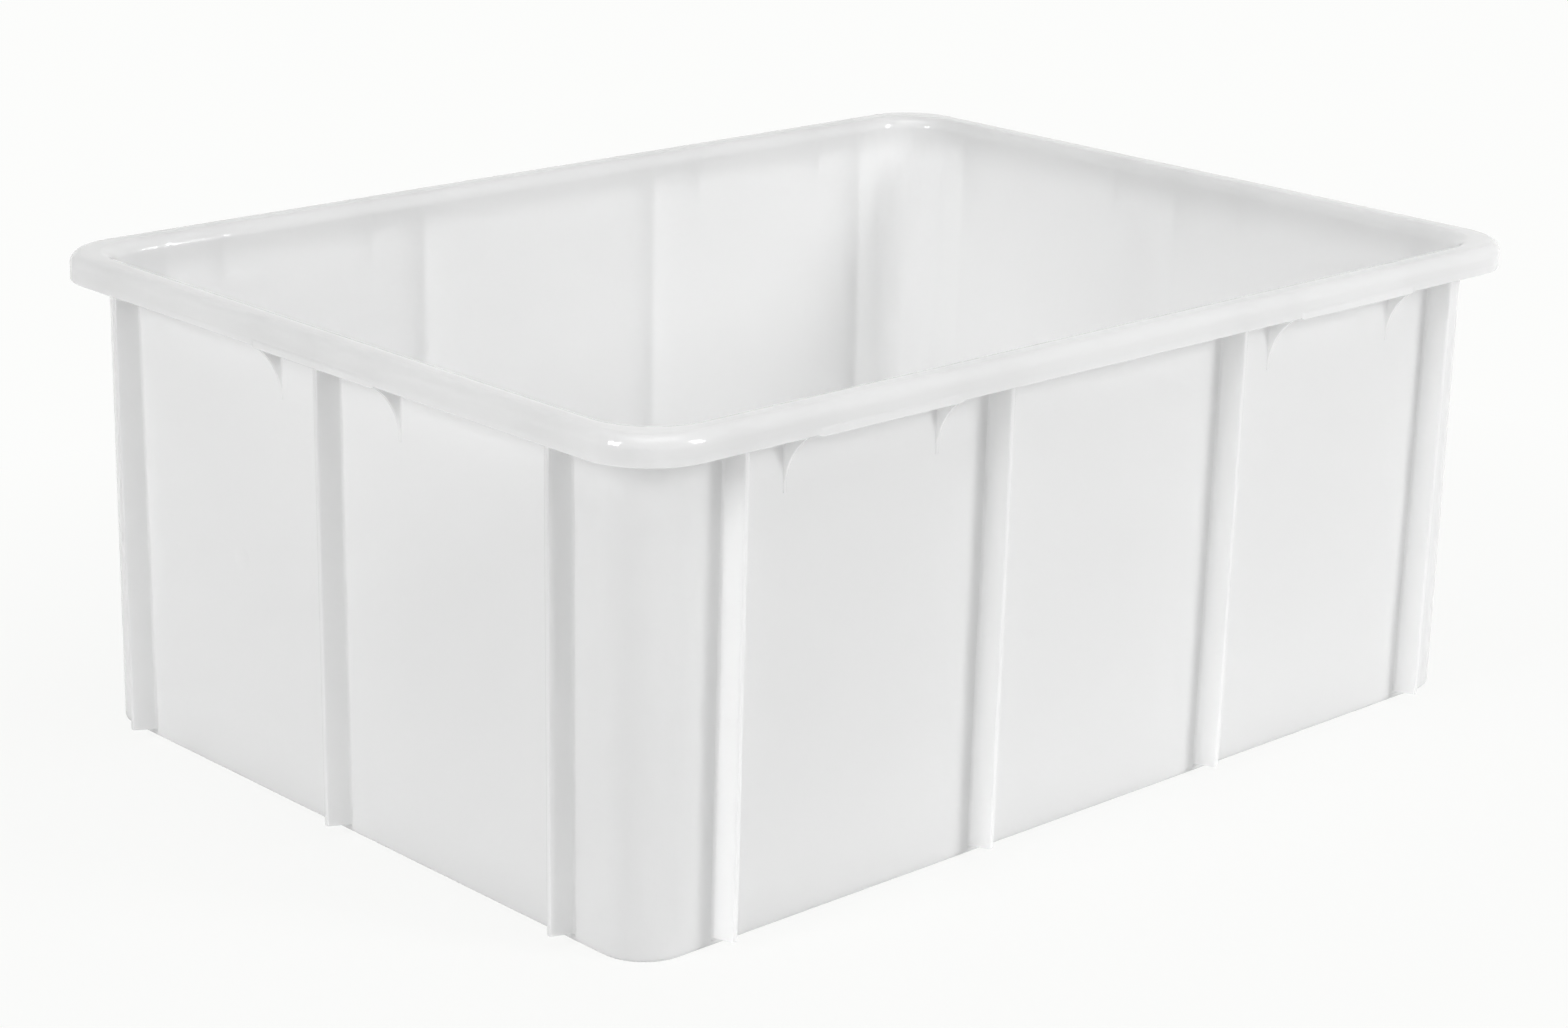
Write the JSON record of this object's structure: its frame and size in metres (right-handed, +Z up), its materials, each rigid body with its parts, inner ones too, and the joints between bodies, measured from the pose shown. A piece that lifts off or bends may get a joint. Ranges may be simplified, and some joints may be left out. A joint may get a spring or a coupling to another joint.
{
  "type": "stacking bin",
  "caption": "Open white plastic harvest bin with straight ribbed walls, rounded corners and a rolled rim that a like bin stacks on and hands grip.",
  "frame": {"origin": "centre of the base, on the surface that the bin stands on", "axes": "+X along the long side, +Y across the bin, +Z up; the picture's near long wall is on the -Y side and its near short wall on the -X side"},
  "size_m": [0.7, 0.518, 0.28],
  "materials": {
    "polyethylene": "satin, slightly translucent white moulded polyethylene"
  },
  "bodies": {
    "root": {"corner_back_left": "polyethylene", "corner_back_right": "polyethylene", "corner_front_left": "polyethylene", "corner_front_right": "polyethylene", "floor": "polyethylene", "gusset_back_1": "polyethylene", "gusset_back_2": "polyethylene", "gusset_back_3": "polyethylene", "gusset_back_4": "polyethylene", "gusset_front_1": "polyethylene", "gusset_front_2": "polyethylene", "gusset_front_3": "polyethylene", "gusset_front_4": "polyethylene", "gusset_left_1": "polyethylene", "gusset_left_2": "polyethylene", "gusset_right_1": "polyethylene", "gusset_right_2": "polyethylene", "rib_back_1": "polyethylene", "rib_back_2": "polyethylene", "rib_back_3": "polyethylene", "rib_back_4": "polyethylene", "rib_front_1": "polyethylene", "rib_front_2": "polyethylene", "rib_front_3": "polyethylene", "rib_front_4": "polyethylene", "rib_left_1": "polyethylene", "rib_left_2": "polyethylene", "rib_left_3": "polyethylene", "rib_right_1": "polyethylene", "rib_right_2": "polyethylene", "rib_right_3": "polyethylene", "rim_back": "polyethylene", "rim_corner_back_left": "polyethylene", "rim_corner_back_right": "polyethylene", "rim_corner_front_left": "polyethylene", "rim_corner_front_right": "polyethylene", "rim_front": "polyethylene", "rim_left": "polyethylene", "rim_right": "polyethylene", "wall_back": "polyethylene", "wall_front": "polyethylene", "wall_left": "polyethylene", "wall_right": "polyethylene"}
  },
  "joints": []
}
